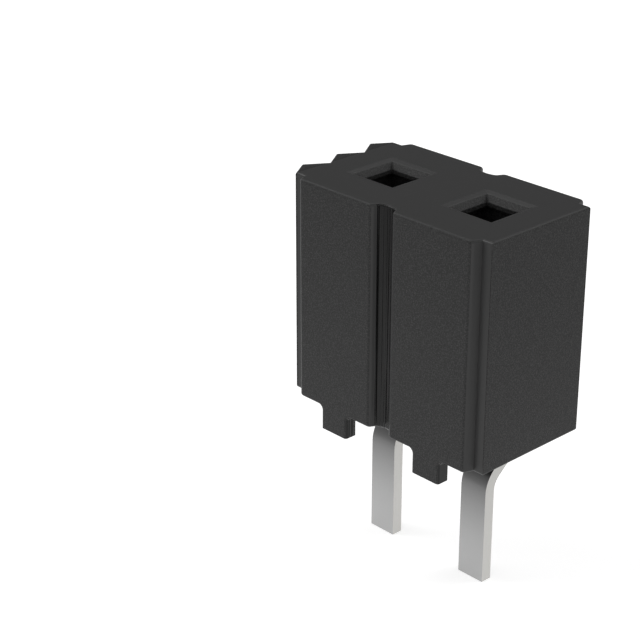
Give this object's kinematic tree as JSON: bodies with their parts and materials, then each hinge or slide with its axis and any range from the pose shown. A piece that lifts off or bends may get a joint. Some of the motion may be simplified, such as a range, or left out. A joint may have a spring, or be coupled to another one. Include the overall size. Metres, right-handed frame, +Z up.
{
  "type": "socket header",
  "caption": "Upright through-hole socket header with square lead-in openings, a grooved insulating housing on stand-off feet and cranked solder tails.",
  "frame": {"origin": "on the board's surface under the feet, midway between the solder tails", "axes": "+Z up out of the board, towards the mating face; the row of cells runs along X, with the ridged end wall at -X; the tails crank towards +Y as they go up into the housing"},
  "size_m": [0.0055, 0.0032, 0.008],
  "materials": {
    "housing_plastic": "black glass-filled moulding, fine matt texture",
    "contact_metal": "matt tin plate on copper alloy strip"
  },
  "bodies": {
    "root": {"housing": "housing_plastic", "contact_1": "contact_metal", "contact_2": "contact_metal"}
  },
  "joints": []
}
